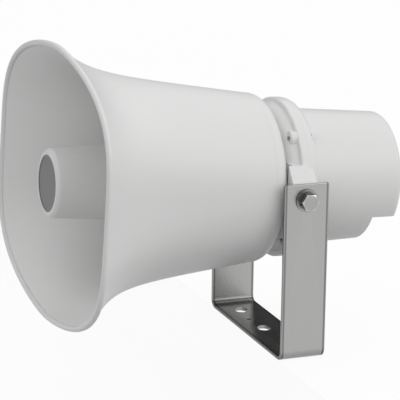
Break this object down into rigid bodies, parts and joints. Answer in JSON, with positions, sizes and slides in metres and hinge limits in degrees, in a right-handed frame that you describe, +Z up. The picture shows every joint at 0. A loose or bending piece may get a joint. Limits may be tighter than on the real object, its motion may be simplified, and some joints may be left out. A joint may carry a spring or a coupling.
{
  "type": "horn loudspeaker",
  "caption": "Reflex horn loudspeaker with a wide rounded mouth, centre reflector and round driver cover, tilting in a slotted U bracket.",
  "frame": {"origin": "middle of the row of slots, on the underside of the bracket's base", "axes": "+Z up, -Y the way the horn fires, X along the pivot"},
  "size_m": [0.2855, 0.2992, 0.2593],
  "materials": {
    "stainless_strip": "satin rolled stainless",
    "bolt_steel": "bright stainless",
    "nylon": "natural nylon",
    "horn_plastic": "satin off-white moulding",
    "badge_grey": "satin grey",
    "dark_plastic": "moulded",
    "gasket_rubber": "matte",
    "cast_aluminium": "as cast and turned",
    "dome_film": "thin amber film",
    "coil_wire": "enamelled winding",
    "plated_steel": "zinc plated",
    "ferrite": "ground ferrite"
  },
  "bodies": {
    "bracket": {"u_bracket": "stainless_strip"},
    "horn": {"pivot_bolts": "bolt_steel", "spring_washers": "bolt_steel", "flat_washers": "bolt_steel", "lug_washers": "nylon", "captive_nuts": "bolt_steel", "horn_flare": "horn_plastic", "reflector": "horn_plastic", "reflector_badge": "badge_grey", "reflector_screw": "bolt_steel", "neck_housing": "horn_plastic", "rear_cover": "horn_plastic", "cover_screws": "bolt_steel", "throat_tube": "dark_plastic", "flare_gasket": "gasket_rubber", "flare_screws": "bolt_steel", "housing_gasket": "gasket_rubber", "driver_frame": "cast_aluminium", "phase_plug": "dark_plastic", "diaphragm_ring": "cast_aluminium", "top_plate": "plated_steel", "magnet_ring": "ferrite", "yoke": "plated_steel", "driver_screws": "bolt_steel", "terminal_strip": "dark_plastic", "cable_gland": "gasket_rubber"},
    "cone": {"diaphragm": "dome_film", "voice_coil": "coil_wire"}
  },
  "joints": [
    {"name": "tilt", "type": "hinge", "parent": "bracket", "child": "horn", "pos_m": [0, 0.002, 0.136], "axis": [-1, 0, 0], "range_deg": [-45, 87]},
    {"name": "cone_travel", "type": "slide", "parent": "horn", "child": "cone", "axis": [0, 0.9986, -0.0523], "range_m": [-0.0004, 0.0004], "stiffness_N_per_m": 3000}
  ]
}
